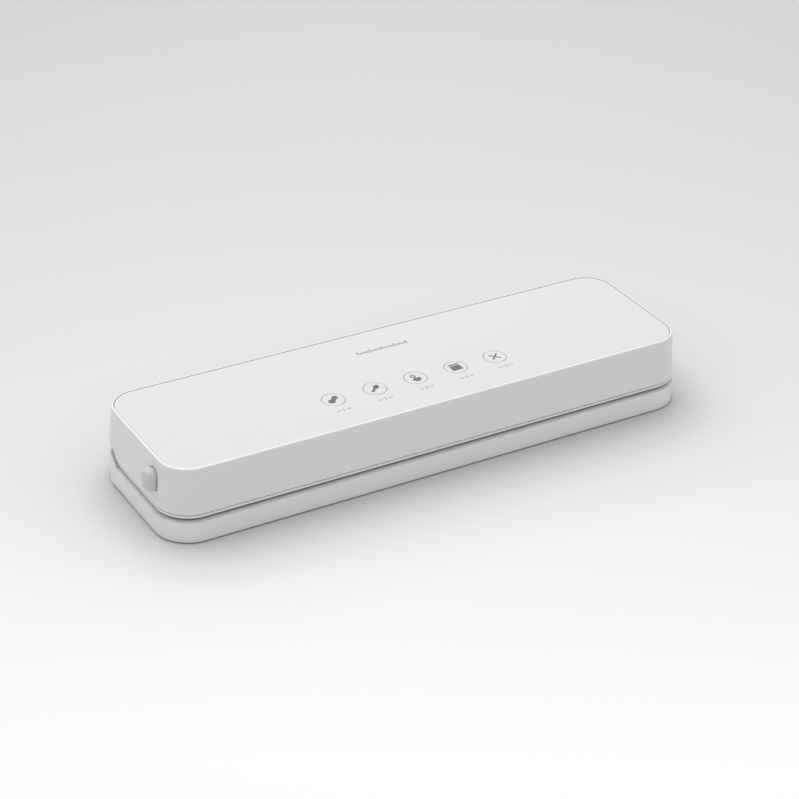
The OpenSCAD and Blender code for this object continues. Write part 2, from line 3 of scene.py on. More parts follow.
import bmesh
import bpy
from mathutils import Matrix, Vector


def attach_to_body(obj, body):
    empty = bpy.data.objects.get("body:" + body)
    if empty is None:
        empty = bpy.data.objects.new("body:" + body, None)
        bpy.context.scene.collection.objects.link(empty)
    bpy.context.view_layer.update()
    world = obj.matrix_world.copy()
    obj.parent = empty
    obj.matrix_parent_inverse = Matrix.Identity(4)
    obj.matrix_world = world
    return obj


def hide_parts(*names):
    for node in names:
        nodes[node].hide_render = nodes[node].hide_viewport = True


# Slim bag sealer: finishes, soft pieces, printed marks, fasteners and the studio.
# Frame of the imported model: X along the body, -Y the front, Z up.
# Objects are in metres, and the dictionaries give lengths in mm unless a note says otherwise.

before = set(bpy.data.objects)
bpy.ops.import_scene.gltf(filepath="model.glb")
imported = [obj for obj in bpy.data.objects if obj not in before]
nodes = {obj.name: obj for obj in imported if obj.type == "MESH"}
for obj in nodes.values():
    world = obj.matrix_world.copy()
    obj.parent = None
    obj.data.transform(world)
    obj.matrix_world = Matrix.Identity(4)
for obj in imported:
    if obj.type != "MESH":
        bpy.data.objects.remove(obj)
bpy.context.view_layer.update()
mm = 0.001


def placed(name, data):
    # A new object in the scene
    item = bpy.data.objects.new(name, data)
    bpy.context.scene.collection.objects.link(item)
    return item


viewPoint = {
    "lens": 101.80, "sensor": 36,
    "azimuth": -31.416, "elevation": 30.523, "roll": 2.064,  # degrees
    "distance": 1.4581,  # metres from the middle of the footprint
    "across": 398.78, "down": 432.10,  # where that middle falls in the frame, in pixels
    "frame": 799,
    "clip": (0.05, 60),  # metres
}


def placeCamera(v):
    az, el, roll = (radians(v[k]) for k in ("azimuth", "elevation", "roll"))
    back = Vector((sin(az) * cos(el), -cos(az) * cos(el), sin(el)))
    level = Vector((cos(az), sin(az), 0))
    rise = back.cross(level)
    right = level * cos(roll) + rise * sin(roll)
    up = rise * cos(roll) - level * sin(roll)
    pixel = v["distance"] * v["sensor"] / (v["lens"] * v["frame"])  # metres
    centre = (v["frame"] - 1) / 2
    place = back * v["distance"]
    place += right * (centre - v["across"]) * pixel + up * (v["down"] - centre) * pixel
    data = bpy.data.cameras.new("viewCamera")
    data.lens, data.sensor_width = v["lens"], v["sensor"]
    data.clip_start, data.clip_end = v["clip"]
    camera = placed("viewCamera", data)
    turned = Matrix((right, up, back)).transposed().to_4x4()
    camera.matrix_world = Matrix.Translation(place) @ turned
    bpy.context.scene.camera = camera


placeCamera(viewPoint)
print("camera placed")


def plug(tree, node, key, value):
    # A socket, or a node's first socket, is linked; anything else is the input's own value
    if isinstance(value, bpy.types.Node):
        value = value.outputs[0]
    if isinstance(value, bpy.types.NodeSocket):
        tree.links.new(value, node.inputs[key])
    else:
        node.inputs[key].default_value = value


def addNode(tree, kind, inputs=None, **settings):
    node = tree.nodes.new(kind)
    for key, value in settings.items():
        setattr(node, key, value)
    for key, value in (inputs or {}).items():
        plug(tree, node, key, value)
    return node


def objectPlace(tree):
    return addNode(tree, "ShaderNodeTexCoord").outputs["Object"]


def paint(red, green, blue):
    # A colour as it shows on a screen, 0 to 255, turned into the linear values nodes take
    parts = [c / 255 for c in (red, green, blue)]
    return (*[c / 12.92 if c < 0.0405 else ((c + 0.055) / 1.055) ** 2.4 for c in parts], 1)


def mixColour(tree, factor, first, second):
    # A plain colour is given as paint() takes it
    node = addNode(tree, "ShaderNodeMix", data_type="RGBA")
    for index, value in ((0, factor), (6, first), (7, second)):
        plug(tree, node, index, paint(*value) if isinstance(value, tuple) else value)
    return node.outputs[2]


def noise(tree, where, scale, detail=2, rough=0.5):
    return addNode(tree, "ShaderNodeTexNoise", {"Vector": where, "Scale": scale,
                   "Detail": detail, "Roughness": rough}).outputs["Fac"]


def mapRange(tree, value, low, high, toLow, toHigh):
    return addNode(tree, "ShaderNodeMapRange", {"Value": value, "From Min": low, "From Max": high,
                   "To Min": toLow, "To Max": toHigh}).outputs["Result"]


def uneven(tree, pattern, middle, spread):
    # A value that wanders about its middle with the pattern
    return mapRange(tree, pattern, 0.3, 0.7, middle - spread, middle + spread)


def maths(tree, operation, first, second):
    return addNode(tree, "ShaderNodeMath", {0: first, 1: second}, operation=operation).outputs[0]


def vectors(tree, operation, first, second=(0, 0, 0)):
    node = addNode(tree, "ShaderNodeVectorMath", {0: first, 1: second}, operation=operation)
    return node.outputs["Value" if operation in ("DOT_PRODUCT", "LENGTH") else "Vector"]


def bump(tree, height, depth, normal=None):
    node = addNode(tree, "ShaderNodeBump", {"Height": height, "Distance": depth * mm})
    if normal is not None:
        plug(tree, node, "Normal", normal)
    return node


def stretched(tree, where, scale):
    # The same pattern drawn out along one axis or more
    return addNode(tree, "ShaderNodeMapping", {"Vector": where, "Scale": scale})


finishes = {}


def newFinish(name):
    material = bpy.data.materials.new(name)
    material.use_nodes = True
    finishes[name] = material
    tree = material.node_tree
    return tree, tree.nodes["Principled BSDF"], objectPlace(tree)


def surface(tree, shader, colour, rough, normal, gloss=0.5, **fixed):
    inputs = {"Base Color": colour, "Roughness": rough, "Normal": normal,
              "Specular IOR Level": gloss, **fixed}
    for key, value in inputs.items():
        plug(tree, shader, key, value)


def mouldedPlastic(name, f):
    # Spark-eroded moulding: fine grain, faint flow mottle, edges rubbed a little smoother and
    # lighter, the lighter colour partly a painted highlight
    tree, shader, where = newFinish(name)
    soft = addNode(tree, "ShaderNodeBevel", {"Radius": f["edge"] * mm}, samples=4).outputs[0]
    flat = addNode(tree, "ShaderNodeNewGeometry").outputs["Normal"]
    rubbedAndHighlight = mapRange(tree, vectors(tree, "DOT_PRODUCT", soft, flat), *f["edgeTurn"], 0, 1)
    mottle = noise(tree, where, f["mottle"], 3)
    grain = noise(tree, where, f["grain"], 2, 0.6)
    handled = noise(tree, where, f["handled"], 4, 0.6)
    place = addNode(tree, "ShaderNodeSeparateXYZ", {"Vector": where}).outputs
    edges = f["rubbedAndHighlight"]
    # Painted highlight: the rim between these heights takes the rubbed colour all over
    if f["rim"]:
        low, high = (height * mm for height in f["rim"])
        rubbedAndHighlight = maths(tree, "MAXIMUM", rubbedAndHighlight, mapRange(tree, place["Z"], low, high, 0, 1))
    # Painted shadow line: edges below these heights take the painted shade colour
    if f["dusty"]:
        low, high = (height * mm for height in f["dusty"])
        edges = mixColour(tree, mapRange(tree, place["Z"], low, high, 0, 1), f["dust"], edges)
    colour = mixColour(tree, mottle, f["colour"], f["shade"])
    colour = mixColour(tree, rubbedAndHighlight, colour, edges)
    # Painted shade: darker where the occlusion test finds the surface closed in
    closed = addNode(tree, "ShaderNodeAmbientOcclusion", {"Distance": f["seam"] * mm},
                     samples=6).outputs["AO"]
    soil = mapRange(tree, closed, *f["seamOpen"], f["soil"], 0)
    # Painted shade along the parting line, under the lid's overhang
    if f["outline"]:
        x, y, radius, low, rear = (value * mm for value in f["outline"])
        fade, rearFade = (value * mm for value in f["outlineFade"])
        past = vectors(tree, "SUBTRACT", vectors(tree, "ABSOLUTE", where), (x, y, 1))
        past = vectors(tree, "LENGTH", vectors(tree, "MAXIMUM", past))
        deep = mapRange(tree, closed, *f["outlineOpen"], f["outlineShade"], 0)
        for value, bare, full in ((past, radius - fade, radius), (place["Z"], low - fade, low),
                                  (place["Y"], rear, rear - rearFade)):
            deep = maths(tree, "MULTIPLY", deep, mapRange(tree, value, bare, full, 0, 1))
        soil = maths(tree, "MAXIMUM", soil, deep)
    rough = uneven(tree, handled, f["rough"], f["spread"])
    rough = maths(tree, "SUBTRACT", rough, maths(tree, "MULTIPLY", rubbedAndHighlight, f["smoother"]))
    surface(tree, shader, mixColour(tree, soil, colour, f["dust"]), rough,
            bump(tree, grain, f["depth"], soft), f["gloss"], IOR=f["ior"])


plasticCommon = {
    "edge": 0.35, "edgeTurn": (0.99, 0.88),  # width of a rubbed and highlighted edge and how sharp it has to be
    "mottle": 9, "grain": 2600, "depth": 0.008, "handled": 55, "spread": 0.05, "smoother": 0.08,
    "gloss": 0.5, "ior": 1.49,
    # Painted shade in seams, gaps and under overhangs: its reach, how closed a place must be, how
    # much, and its colour
    "seam": 3, "seamOpen": (0.15, 0.7), "soil": 0.75, "dust": (104, 104, 100),
    "rim": None,  # heights between which a rim is lightened all over, a painted highlight
    "dusty": None,  # heights between which edges pass from the painted shade colour, a painted shadow line, to rubbed and highlighted
    # Painted shade along the parting line: half sizes and radius of its outline, its height and how
    # far back it goes, then how it fades
    "outline": None, "outlineFade": (2, 4), "outlineOpen": (0.3, 1.0), "outlineShade": 0.96,
}
plasticLooks = {
    # The lid: rubbed colour near white is a painted highlight on the rim and top edges; its
    # near-black shade colour paints a shadow line on edges below 36 to 40 mm and strong shade in
    # seams
    "lidPlastic": {"colour": (238, 238, 237), "shade": (236, 236, 235), "rubbedAndHighlight": (255, 255, 254),
                   "rough": 0.36, "edge": 1.1, "seam": 5, "soil": 0.95,
                   "dust": (30, 30, 29), "dusty": (36, 40), "rim": (49.5, 49.8)},
    "panelPlastic": {"colour": (229, 229, 229), "shade": (227, 227, 227), "rubbedAndHighlight": (234, 234, 234),
                     "rough": 0.5, "gloss": 0.4, "depth": 0.003, "soil": 0.3},
    # The base: painted shade on its shoulder under the lid's overhang
    "bodyPlastic": {"colour": (242, 242, 241), "shade": (240, 240, 239), "rubbedAndHighlight": (245, 245, 244),
                    "rough": 0.4, "seam": 8, "soil": 0.4, "dust": (46, 46, 44),
                    "outline": (165.25, 31.5, 19, 10, 34)},
    "linerPlastic": {"colour": (243, 243, 236), "shade": (240, 240, 232), "rubbedAndHighlight": (246, 246, 240),
                     "rough": 0.46, "seam": 1.2, "soil": 0.4},
    # The latch tabs: a darker copy of the white plastic, painted shade, with strong painted shade
    # round them
    "latchPlastic": {"colour": (214, 214, 213), "shade": (211, 211, 210), "rubbedAndHighlight": (220, 220, 219),
                     "rough": 0.42, "gloss": 0.4, "seam": 4, "soil": 0.95, "dust": (84, 84, 82)},
    "trayPlastic": {"colour": (214, 216, 216), "shade": (208, 210, 211), "rubbedAndHighlight": (226, 228, 228),
                    "rough": 0.3, "depth": 0.003},
    "plungerPlastic": {"colour": (196, 196, 192), "shade": (188, 188, 184),
                       "rubbedAndHighlight": (206, 206, 202), "rough": 0.4},
    "darkPlastic": {"colour": (52, 52, 55), "shade": (44, 44, 47), "rubbedAndHighlight": (74, 74, 77),
                    "rough": 0.45},
    "inletPlastic": {"colour": (40, 40, 42), "shade": (34, 34, 36), "rubbedAndHighlight": (66, 66, 68),
                     "rough": 0.4},
}
plasticLooks["keyPlastic"] = plasticLooks["panelPlastic"]
for name, look in plasticLooks.items():
    mouldedPlastic(name, {**plasticCommon, **look})


def foamRubber(name, f):
    # Closed-cell foam or rubber with a powdery bloom over the colour
    tree, shader, where = newFinish(name)
    cells = addNode(tree, "ShaderNodeTexVoronoi", {
        "Vector": where, "Scale": f["cells"]}).outputs["Distance"]
    bloom = noise(tree, where, f["bloom"], 4, 0.6)
    pits = mapRange(tree, cells, 0, f["pitEdge"], 0, 1)
    colour = mixColour(tree, pits, f["pit"], mixColour(tree, bloom, f["colour"], f["shade"]))
    surface(tree, shader, colour, uneven(tree, bloom, f["rough"], f["spread"]),
            bump(tree, cells, f["depth"]), f["gloss"])


rubberCommon = {"pitEdge": 0.45, "spread": 0.06}
rubberLooks = {
    "gasketFoam": {"colour": (96, 97, 98), "shade": (84, 85, 86), "pit": (58, 58, 60),
                   "cells": 1500, "bloom": 60, "depth": 0.12, "rough": 0.85, "gloss": 0.2},
    "stripSilicone": {"colour": (176, 177, 176), "shade": (166, 167, 166), "pit": (160, 161, 160),
                      "cells": 2400, "bloom": 40, "depth": 0.01, "rough": 0.5, "gloss": 0.4},
    "hoseSilicone": {"colour": (202, 204, 203), "shade": (188, 190, 189), "pit": (180, 182, 181),
                     "cells": 1800, "bloom": 50, "depth": 0.01, "rough": 0.4, "gloss": 0.5},
    "footRubber": {"colour": (98, 98, 99), "shade": (86, 86, 87), "pit": (74, 74, 75),
                   "cells": 2200, "bloom": 80, "depth": 0.02, "rough": 0.7, "gloss": 0.3},
}
for name, look in rubberLooks.items():
    foamRubber(name, {**rubberCommon, **look})


def drawnMetal(name, f):
    # Drawn, turned or plated metal: fine streaks along one axis and darker stains
    tree, shader, where = newFinish(name)
    streaks = noise(tree, stretched(tree, where, f["stretch"]), f["streaks"], 3, 0.6)
    stains = mapRange(tree, noise(tree, where, f["stains"], 3, 0.6), *f["stained"], 0, f["most"])
    colour = mixColour(tree, stains, mixColour(tree, streaks, f["colour"], f["shade"]), f["stain"])
    surface(tree, shader, colour, uneven(tree, streaks, f["rough"], f["spread"]),
            bump(tree, streaks, f["depth"]), Metallic=1.0)


metalCommon = {"stains": 140, "stained": (0.45, 0.8), "most": 0.6, "spread": 0.08, "depth": 0.006}
metalLooks = {
    "zincSteel": {"colour": (200, 201, 204), "shade": (182, 184, 188), "stain": (160, 162, 166),
                  "stretch": (1, 1, 0.1), "streaks": 4000, "rough": 0.3},
    "motorSteel": {"colour": (196, 198, 200), "shade": (178, 180, 184), "stain": (158, 160, 164),
                   "stretch": (0.06, 1, 1), "streaks": 2600, "rough": 0.34},
    "heaterFoil": {"colour": (190, 188, 184), "shade": (170, 168, 162), "stain": (150, 138, 120),
                   "stretch": (0.02, 1, 1), "streaks": 3000, "rough": 0.32},
    "copperWire": {"colour": (206, 128, 84), "shade": (186, 108, 66), "stain": (150, 84, 52),
                   "stretch": (1, 1, 0.2), "streaks": 2400, "rough": 0.28},
}
for name, look in metalLooks.items():
    drawnMetal(name, {**metalCommon, **look})

clothLook = {"threads": 500, "colour": (168, 142, 108), "gap": (138, 112, 82),
             "scorch": (120, 92, 64), "scorches": 160, "scorched": (0.5, 0.75), "most": 0.5,
             "rough": (0.50, 0.36), "depth": 0.03}


def wovenTape(name, f):
    # Glass cloth under a slippery coat: two crossed waves for the threads
    tree, shader, where = newFinish(name)
    threads = [addNode(tree, "ShaderNodeTexWave", {
        "Vector": where, "Scale": f["threads"], "Distortion": 0.4, "Detail": 1.0,
        "Detail Scale": 3.0}, bands_direction=axis).outputs["Fac"] for axis in ("X", "Y")]
    weave = maths(tree, "MAXIMUM", *threads)
    scorch = noise(tree, stretched(tree, where, (0.3, 1, 1)), f["scorches"], 4, 0.6)
    colour = mixColour(tree, mapRange(tree, scorch, *f["scorched"], 0, f["most"]),
                       mixColour(tree, weave, f["gap"], f["colour"]), f["scorch"])
    surface(tree, shader, colour, mapRange(tree, weave, 0, 1, *f["rough"]),
            bump(tree, weave, f["depth"]))


wovenTape("sealingCloth", clothLook)

boardLook = {"tracks": 60, "colour": (34, 96, 62), "track": (66, 132, 90), "shade": (24, 74, 48),
             "weave": 900, "shaded": 0.35, "rough": 0.36, "spread": 0.06, "raised": 0.035}


def circuitBoard(name, f):
    # Solder mask over copper tracks, which show as slightly raised lighter lines
    tree, shader, where = newFinish(name)
    tracks = addNode(tree, "ShaderNodeTexBrick", {
        "Vector": where, "Scale": f["tracks"], "Mortar Size": 0.025, "Brick Width": 0.9,
        "Row Height": 0.14}, offset=0.35).outputs["Fac"]
    weave = noise(tree, where, f["weave"], 2)
    colour = mixColour(tree, maths(tree, "MULTIPLY", weave, f["shaded"]),
                       mixColour(tree, tracks, f["colour"], f["track"]), f["shade"])
    surface(tree, shader, colour, uneven(tree, weave, f["rough"], f["spread"]),
            bump(tree, tracks, f["raised"]))


circuitBoard("boardMask", boardLook)

resinLook = {"colour": (222, 218, 204), "shade": (212, 208, 192), "speck": (176, 166, 142),
             "clouds": 40, "specks": 700, "specked": (0.62, 0.75), "most": 0.7,
             "rough": 0.58, "spread": 0.08, "depth": 0.02}


def filledResin(name, f):
    # Heat-proof filled resin: cloudy, with darker specks
    tree, shader, where = newFinish(name)
    speck = noise(tree, where, f["specks"], 3, 0.7)
    colour = mixColour(tree, noise(tree, where, f["clouds"], 3), f["colour"], f["shade"])
    colour = mixColour(tree, mapRange(tree, speck, *f["specked"], 0, f["most"]), colour, f["speck"])
    surface(tree, shader, colour, uneven(tree, speck, f["rough"], f["spread"]),
            bump(tree, speck, f["depth"]))


filledResin("barResin", resinLook)


ink = {"scale": 1800, "rough": 0.485, "spread": 0.065, "depth": 0.004}
jacket = {"scale": 300, "rough": 0.425, "spread": 0.075, "depth": 0.01}


def plainCover(name, f, colour, shade):
    # Printed ink or a wire's jacket: slightly uneven cover and gloss
    tree, shader, where = newFinish(name)
    cover = noise(tree, where, f["scale"], 3, 0.6)
    surface(tree, shader, mixColour(tree, cover, colour, shade),
            uneven(tree, cover, f["rough"], f["spread"]), bump(tree, cover, f["depth"]))


for look in (("greyInk", ink, (98, 98, 99), (112, 112, 113)),
             ("paleInk", ink, (138, 138, 138), (150, 150, 150)),
             ("redCover", jacket, (168, 44, 38), (150, 36, 32)),
             ("blackCover", jacket, (44, 44, 46), (34, 34, 36)),
             ("blueCover", jacket, (52, 84, 150), (42, 70, 130)),
             ("brownCover", jacket, (112, 74, 48), (96, 62, 40)),
             ("whiteCover", jacket, (218, 216, 208), (204, 202, 194)),
             ("sleeveBlue", jacket, (40, 62, 112), (32, 50, 96)),
             ("coilTape", jacket, (214, 178, 70), (198, 160, 56))):
    plainCover(*look)
print("finishes made:", len(finishes))

keyNames = ("dry", "moist", "pulse", "seal", "stop")
finishNodes = {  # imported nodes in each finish
    "bodyPlastic": "base_shell base_cover", "lidPlastic": "lid_shell", "panelPlastic": "top_panel",
    "linerPlastic": "lid_liner", "trayPlastic": "drip_tray", "inletPlastic": "inlet_socket",
    "latchPlastic": "latch_left latch_right",
    "darkPlastic": "pump_head vent_valve board_parts key_switches",
    "keyPlastic": " ".join("key_" + name for name in keyNames),
    "plungerPlastic": " ".join("plunger_" + name for name in keyNames),
    "gasketFoam": "gasket_lower gasket_upper", "stripSilicone": "press_strip",
    "footRubber": "feet", "hoseSilicone": "vacuum_hose", "barResin": "heater_bar",
    "zincSteel": "base_screws lid_screws hinge_pins inlet_pins", "motorSteel": "pump_motor",
    "heaterFoil": "heating_strip", "copperWire": "pump_rotor transformer",
    "sealingCloth": "sealing_tape", "boardMask": "power_board key_board", "blackCover": "wiring",
}
nodeFinish = {node: finish for finish, some in finishNodes.items() for node in some.split()}
for name, finish in nodeFinish.items():
    mesh = nodes[name].data
    mesh.materials.clear()
    mesh.materials.append(finishes[finish])
print("finishes on all nodes:", not set(nodes) - set(nodeFinish))


def cleaned(mesh, merge=1e-7):
    # Doubles merged and faces turned outwards
    build = bmesh.new()
    build.from_mesh(mesh)
    bmesh.ops.remove_doubles(build, verts=build.verts, dist=merge)
    bmesh.ops.recalc_face_normals(build, faces=build.faces)
    build.to_mesh(mesh)
    build.free()
    return mesh


def meshFrom(name, build):
    mesh = bpy.data.meshes.new(name)
    build.to_mesh(mesh)
    build.free()
    return mesh


def meshOf(name, verts, faces=()):
    mesh = bpy.data.meshes.new(name)
    mesh.from_pydata([tuple(v) for v in verts], [], [tuple(f) for f in faces])
    return mesh


def attach(piece, body, replaced):
    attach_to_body(piece, body)
    if replaced:
        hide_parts(*replaced)
    return piece


def dressed(name, mesh, looks, body, replaced=(), sharp=None):
    # The mesh as a piece in its finishes; sharp: degrees past which an edge stays hard
    for item in [looks] if isinstance(looks, str) else looks:
        mesh.materials.append(finishes[item])
    if sharp:
        mesh.shade_smooth()
        mesh.set_sharp_from_angle(angle=radians(sharp))
    return attach(placed(name, mesh), body, replaced)


def newPiece(name, verts, faces, looks, body, replaced):
    return dressed(name, cleaned(meshOf(name, verts, faces)), looks, body, replaced, 40)


mouldings = {  # node: body and rounding of its moulded edges
    "lid_shell": ("lid", 0.45), "base_shell": ("base", 0.35), "lid_liner": ("lid", 0.35),
    "top_panel": ("lid", 0.12), "base_cover": ("base", 0.3), "drip_tray": ("base", 0.45),
    "latch_left": ("left_latch", 0.25), "latch_right": ("right_latch", 0.25),
    "inlet_socket": ("lid", 0.3), "pump_head": ("lid", 0.6), "vent_valve": ("lid", 0.5),
    "heater_bar": ("lid", 0.2), **{"key_" + name: (name + "_key", 0.12) for name in keyNames},
}
softening = {
    "merge": 0.002, "flat": 0.5,  # points this near, and faces within these degrees, become one
    "segments": 3, "angle": 32,  # steps in a rounded edge, and the turn that makes an edge
    "weight": 80,  # how far the large faces decide the shading
}


def softened(node, body, rounding, s):
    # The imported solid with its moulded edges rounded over
    build = bmesh.new()
    build.from_mesh(nodes[node].data)
    bmesh.ops.remove_doubles(build, verts=build.verts, dist=s["merge"] * mm)
    bmesh.ops.dissolve_limit(build, angle_limit=radians(s["flat"]), verts=build.verts,
                             edges=build.edges)
    first, *others = node.split("_")
    name = first + "".join(other.capitalize() for other in others)
    mesh = meshFrom(name, build)
    for attribute in ("custom_normal", "sharp_edge", "sharp_face"):
        if attribute in mesh.attributes:
            mesh.attributes.remove(mesh.attributes[attribute])
    mesh.shade_smooth()
    mesh.materials.append(finishes[nodeFinish[node]])
    piece = placed(name, mesh)
    edge = piece.modifiers.new("roundedEdges", "BEVEL")
    edge.width, edge.segments = rounding * mm, s["segments"]
    edge.limit_method, edge.angle_limit = "ANGLE", radians(s["angle"])
    level = piece.modifiers.new("evenShading", "WEIGHTED_NORMAL")
    level.mode, level.weight, level.keep_sharp = "FACE_AREA", s["weight"], True
    attach(piece, body, [node])


for node, (body, rounding) in mouldings.items():
    softened(node, body, rounding, softening)
print("moulded shells rounded:", len(mouldings))


def rows(count, sides, start=0):
    # Vertex numbers of rings made one after another
    return [list(range(start + i * sides, start + (i + 1) * sides)) for i in range(count)]


def band(first, second):
    # Faces between two rings
    return list(zip(first, first[1:] + first[:1], second[1:] + second[:1], second))


def bands(rings):
    return [face for first, second in zip(rings, rings[1:]) for face in band(first, second)]


def disc(x, y, radius, sides=28):
    return [(x + radius * cos(2 * pi * k / sides),
             y + radius * sin(2 * pi * k / sides)) for k in range(sides)]


def obround(half, radius, y, turns=24):
    # Points and outward directions round a slot's outline, in metres
    points = []
    for side in (1, -1):
        for i in range(turns + 1):
            angle = pi * (i / turns - 0.5)
            out = Vector((side * cos(angle), side * sin(angle), 0))
            points.append((Vector((side * half, y, 0)) + out * radius, out))
    return points


def sweptRing(name, path, profile, finish, body, replaced):
    # profile: (outward, height) pairs, counter-clockwise
    verts = [place + out * u * mm + Vector((0, 0, z * mm))
             for place, out in path for u, z in profile]
    rings = rows(len(path), len(profile))
    faces = [(a, d, c, b) for a, b, c, d in bands(rings + rings[:1])]
    newPiece(name, verts, faces, finish, body, replaced)


def roundedProfile(wide, low, high, radius, roundTop=True, steps=5):
    # A strip's section across, with its two far edges rounded
    points = []
    for side in (1, -1):
        for i in range(steps + 1):
            angle = pi / 2 * (i / steps if side > 0 else 1 - i / steps)
            points.append((side * (wide / 2 - radius + radius * cos(angle)),
                           high - radius + radius * sin(angle)))
    points += [(-wide / 2, low), (wide / 2, low)]
    return points if roundTop else [(u, low + high - z) for u, z in reversed(points)]


seals = {"half": 150, "y": -19, "inner": 13.8, "width": 4.6, "edge": 1.0,
         "lower": (14.3, 16.75), "upper": (17.05, 19.3)}  # heights
middleLine = obround(seals["half"] * mm, (seals["inner"] + seals["width"] / 2) * mm,
                     seals["y"] * mm)
for side, body in (("lower", "base"), ("upper", "lid")):
    section = roundedProfile(seals["width"], *seals[side], seals["edge"], side == "lower")
    sweptRing("gasket" + side.capitalize(), middleLine, section, "gasketFoam", body,
              ["gasket_" + side])


def sweptBar(name, bar, profile, finish, body, replaced):
    # A section drawn along X, shrunk a little at both ends so that they look cut and pressed
    end, cut = bar["length"] / 2, bar["cut"]
    stations = [(-end, bar["ends"]), (-end + cut, 1), (end - cut, 1), (end, bar["ends"])]
    middle = sum(z for _, z in profile) / len(profile)
    verts = [Vector((x, bar["y"] + u * scale, middle + (z - middle) * scale)) * mm
             for x, scale in stations for u, z in profile]
    rings = rows(len(stations), len(profile))
    newPiece(name, verts, bands(rings) + [rings[0], rings[-1]], finish, body, replaced)


pressStrip = {"length": 312, "y": -45.3, "width": 6.6, "low": 13.3, "high": 16.9, "edge": 0.5,
              "grooves": 5, "margin": 0.7, "groove": (0.28, 0.12, 0.22),  # half widths, depth
              "cut": 0.4, "ends": 0.94}


def groovedProfile(s):
    half, high, edge, (top, foot, deep) = s["width"] / 2, s["high"], s["edge"], s["groove"]
    corner = [(half, s["low"]), (half, high - edge), (half - 0.3 * edge, high - 0.3 * edge),
              (half - edge, high)]
    points = list(corner)
    span = s["width"] - 2 * s["margin"]
    for i in range(s["grooves"]):
        middle = span * (0.5 - (i + 0.5) / s["grooves"])
        points += [(middle + top, high), (middle + foot, high - deep),
                   (middle - foot, high - deep), (middle - top, high)]
    return points + [(-u, z) for u, z in reversed(corner)]


sweptBar("pressStrip", pressStrip, groovedProfile(pressStrip), "stripSilicone", "base",
         ["press_strip"])

tape = {"length": 312, "y": -45.3, "width": 6.6, "low": 17.2, "thick": 0.06,
        "rise": 0.2, "bulge": 0.12, "spread": 1.5, "cut": 0.4, "ends": 1.0}


def tapeProfile(t, steps=16):
    # Thin cloth that bulges down under the heating strip
    across = [t["width"] * (0.5 - i / steps) for i in range(steps + 1)]
    top = [(u, t["low"] + t["rise"] - t["bulge"] * exp(-(u / t["spread"]) ** 2))
           for u in across]
    return top + [(u, z - t["thick"]) for u, z in reversed(top)]


sweptBar("sealingTape", tape, tapeProfile(tape), "sealingCloth", "lid", ["sealing_tape"])
print("gaskets, press strip and tape made")


def roundedRoute(points, bend, steps=6):
    # Straight runs joined by curves
    points = [Vector(p) for p in points]
    route = [points[0]]
    for before, corner, after in zip(points, points[1:], points[2:]):
        back, ahead = before - corner, after - corner
        reach = min(bend, back.length * 0.49, ahead.length * 0.49)
        start, end = corner + back.normalized() * reach, corner + ahead.normalized() * reach
        for i in range(steps + 1):
            t = i / steps
            route.append(start * (1 - t) ** 2 + corner * 2 * t * (1 - t) + end * t * t)
    return route + [points[-1]]


def tube(route, radius, sides=12, bore=0):
    # Rings carried along the route without twisting
    ahead = [(b - a).normalized() for a, b in zip(route, route[1:])]
    ahead = [ahead[0]] + [(a + b).normalized() for a, b in zip(ahead, ahead[1:])] + [ahead[-1]]
    verts, faces, layers = [], [], []
    for size in [radius] + ([bore] if bore else []):
        rings = rows(len(route), sides, len(verts))
        faces += bands(rings)
        layers.append(rings)
        across = ahead[0].orthogonal().normalized()
        for place, direction in zip(route, ahead):
            across = (across - direction * across.dot(direction)).normalized()
            other = direction.cross(across)
            verts += [(place + (across * x + other * y) * size) * mm
                      for x, y in disc(0, 0, 1, sides)]
    for end in (0, -1):
        faces += band(layers[0][end], layers[1][end]) if bore else [layers[0][end]]
    return verts, faces


def joined(parts):
    # Several (vertices, faces) in one, and which of them each face came from
    verts, faces, origin = [], [], []
    for index, (some, theirs) in enumerate(parts):
        faces += [tuple(v + len(verts) for v in face) for face in theirs]
        origin += [index] * len(theirs)
        verts += some
    return verts, faces, origin


hose = {"radius": 3.0, "bore": 1.7, "bend": 6, "bendSteps": 10, "sides": 28,
        "points": [(109, -19, 26), (109, -19, 34), (109, -0.5, 34)]}
route = roundedRoute(hose["points"], hose["bend"], hose["bendSteps"])
newPiece("vacuumHose", *tube(route, hose["radius"], hose["sides"], hose["bore"]), "hoseSilicone",
         "lid", ["vacuum_hose"])

leads = {
    "radius": 0.8, "bend": 2.2, "sides": 10,
    "runs": [  # cover, then the points of the run
        ("brownCover", [(-124.3, 36.6, 34.5), (-124.3, 24, 34.5), (-124.3, 24, 26.6)]),
        ("blueCover", [(-115.7, 36.6, 34.5), (-115.7, 24, 34.5), (-115.7, 24, 26.6)]),
        ("redCover", [(153, 18, 33), (155.5, 18, 33), (155.5, 23, 38), (-74, 23, 38),
                      (-74, 23, 26.6)]),
        ("blackCover", [(153, 4, 33), (158.5, 4, 33), (158.5, 25, 38), (-78, 25, 38),
                        (-78, 25, 26.6)]),
        ("whiteCover", [(-158.3, -45.3, 18.3), (-158.3, -45.3, 30), (-158.3, 3, 30),
                        (-158.3, 3, 26.6)]),
        ("whiteCover", [(158.3, -45.3, 18.3), (158.3, -45.3, 33), (-152.3, -45.3, 33),
                        (-152.3, -1, 33), (-152.3, -1, 26.6)]),
    ],
}
verts, faces, covers = joined(tube(roundedRoute(points, leads["bend"]), leads["radius"],
                                   leads["sides"]) for _, points in leads["runs"])
wires = newPiece("leads", verts, faces, [cover for cover, _ in leads["runs"]], "lid", ["wiring"])
for polygon, cover in zip(wires.data.polygons, covers):
    polygon.material_index = cover
print("hose and leads made")


